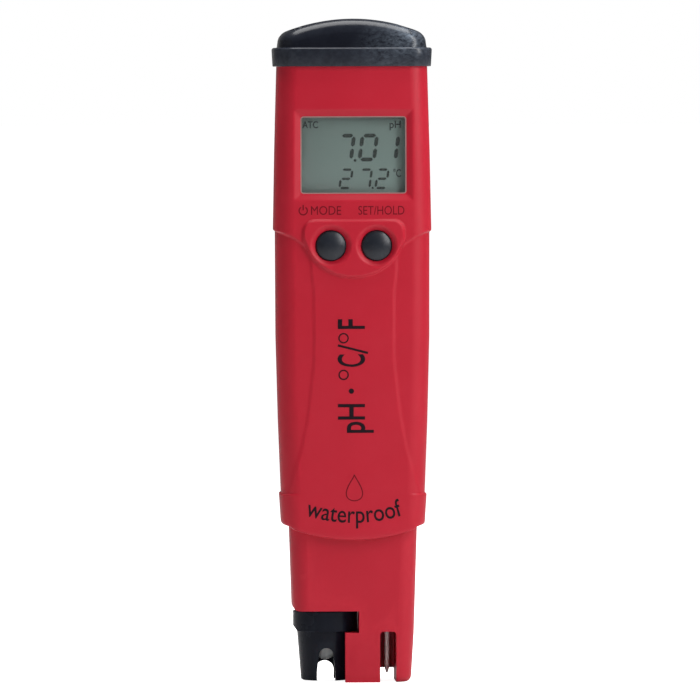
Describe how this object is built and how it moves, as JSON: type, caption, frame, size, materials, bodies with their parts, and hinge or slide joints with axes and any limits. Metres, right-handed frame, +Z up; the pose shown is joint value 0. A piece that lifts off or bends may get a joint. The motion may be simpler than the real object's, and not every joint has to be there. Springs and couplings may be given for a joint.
{
  "type": "ph test pen",
  "caption": "Waterproof pocket pH and temperature tester with a window display, two keys, a battery cap on top and a turn-out electrode beside a temperature sensor at its foot.",
  "frame": {"origin": "middle of the object's box in plan, at the foot of the probe end", "axes": "+X to the right of someone reading the display, +Y to the rear, +Z up"},
  "size_m": [0.0392, 0.026, 0.163],
  "materials": {
    "red_shell": "moulded ABS, mid gloss",
    "black_moulding": "moulded, mid gloss",
    "key_rubber": "smooth silicone rubber",
    "clear_lens": "clear polycarbonate",
    "display": "reflective liquid crystal cell",
    "white_moulding": "moulded",
    "natural_moulding": "moulded, dark grey",
    "seal_rubber": "soft silicone",
    "circuit_board": "glass-epoxy laminate with solder mask",
    "chip_black": "moulded epoxy",
    "steel": "stainless",
    "cell_can": "nickel-plated steel",
    "brass": "plain brass",
    "silver": "silver wire",
    "sensor_glass": "thin blown glass",
    "porous_ceramic": "porous",
    "wire_cover": "insulated wire"
  },
  "bodies": {
    "case": {"front_shell": "red_shell", "rear_shell": "red_shell", "display_window": "clear_lens", "window_seal": "seal_rubber", "lcd_glass": "display", "lcd_frame": "white_moulding", "zebra_strips": "seal_rubber", "main_board": "circuit_board", "board_screws": "steel", "controller_chip": "chip_black", "board_parts": "chip_black", "probe_connector": "white_moulding", "keypad_web": "key_rubber", "battery_tray": "natural_moulding", "battery_springs": "steel", "battery_leads": "wire_cover", "brass_inserts": "brass", "button_cell_1": "cell_can", "button_cell_2": "cell_can", "button_cell_3": "cell_can", "button_cell_4": "cell_can", "probe_housing": "red_shell", "housing_seal": "seal_rubber", "electrode_socket": "natural_moulding", "socket_rings": "brass", "sensor_tube": "steel", "sensor_grommet": "seal_rubber", "thermistor": "chip_black", "probe_leads": "wire_cover"},
    "mode_key": {"mode_key": "key_rubber", "mode_contact_pill": "chip_black"},
    "hold_key": {"hold_key": "key_rubber", "hold_contact_pill": "chip_black"},
    "battery_cap": {"top_cap": "black_moulding", "cap_gasket": "seal_rubber", "cap_screws": "steel", "battery_link": "steel"},
    "electrode": {"electrode_body": "black_moulding", "electrode_seal": "seal_rubber", "glass_bulb": "sensor_glass", "reference_junction": "porous_ceramic", "silver_wire": "silver", "electrode_contacts": "brass"}
  },
  "joints": [
    {"name": "mode_key_press", "type": "slide", "parent": "case", "child": "mode_key", "axis": [0, 1, 0], "range_m": [0, 0.0008], "stiffness_N_per_m": 1200, "springref_m": -0.0003},
    {"name": "hold_key_press", "type": "slide", "parent": "case", "child": "hold_key", "axis": [0, 1, 0], "range_m": [0, 0.0008], "stiffness_N_per_m": 1200, "springref_m": -0.0003},
    {"name": "battery_cap_lift", "type": "slide", "parent": "case", "child": "battery_cap", "axis": [0, 0, 1], "range_m": [0, 0.02]},
    {"name": "electrode_turn", "type": "hinge", "parent": "case", "child": "electrode", "pos_m": [-0.00685, 0, 0.018], "axis": [0, 0, -1], "range_deg": [0, 90]}
  ]
}
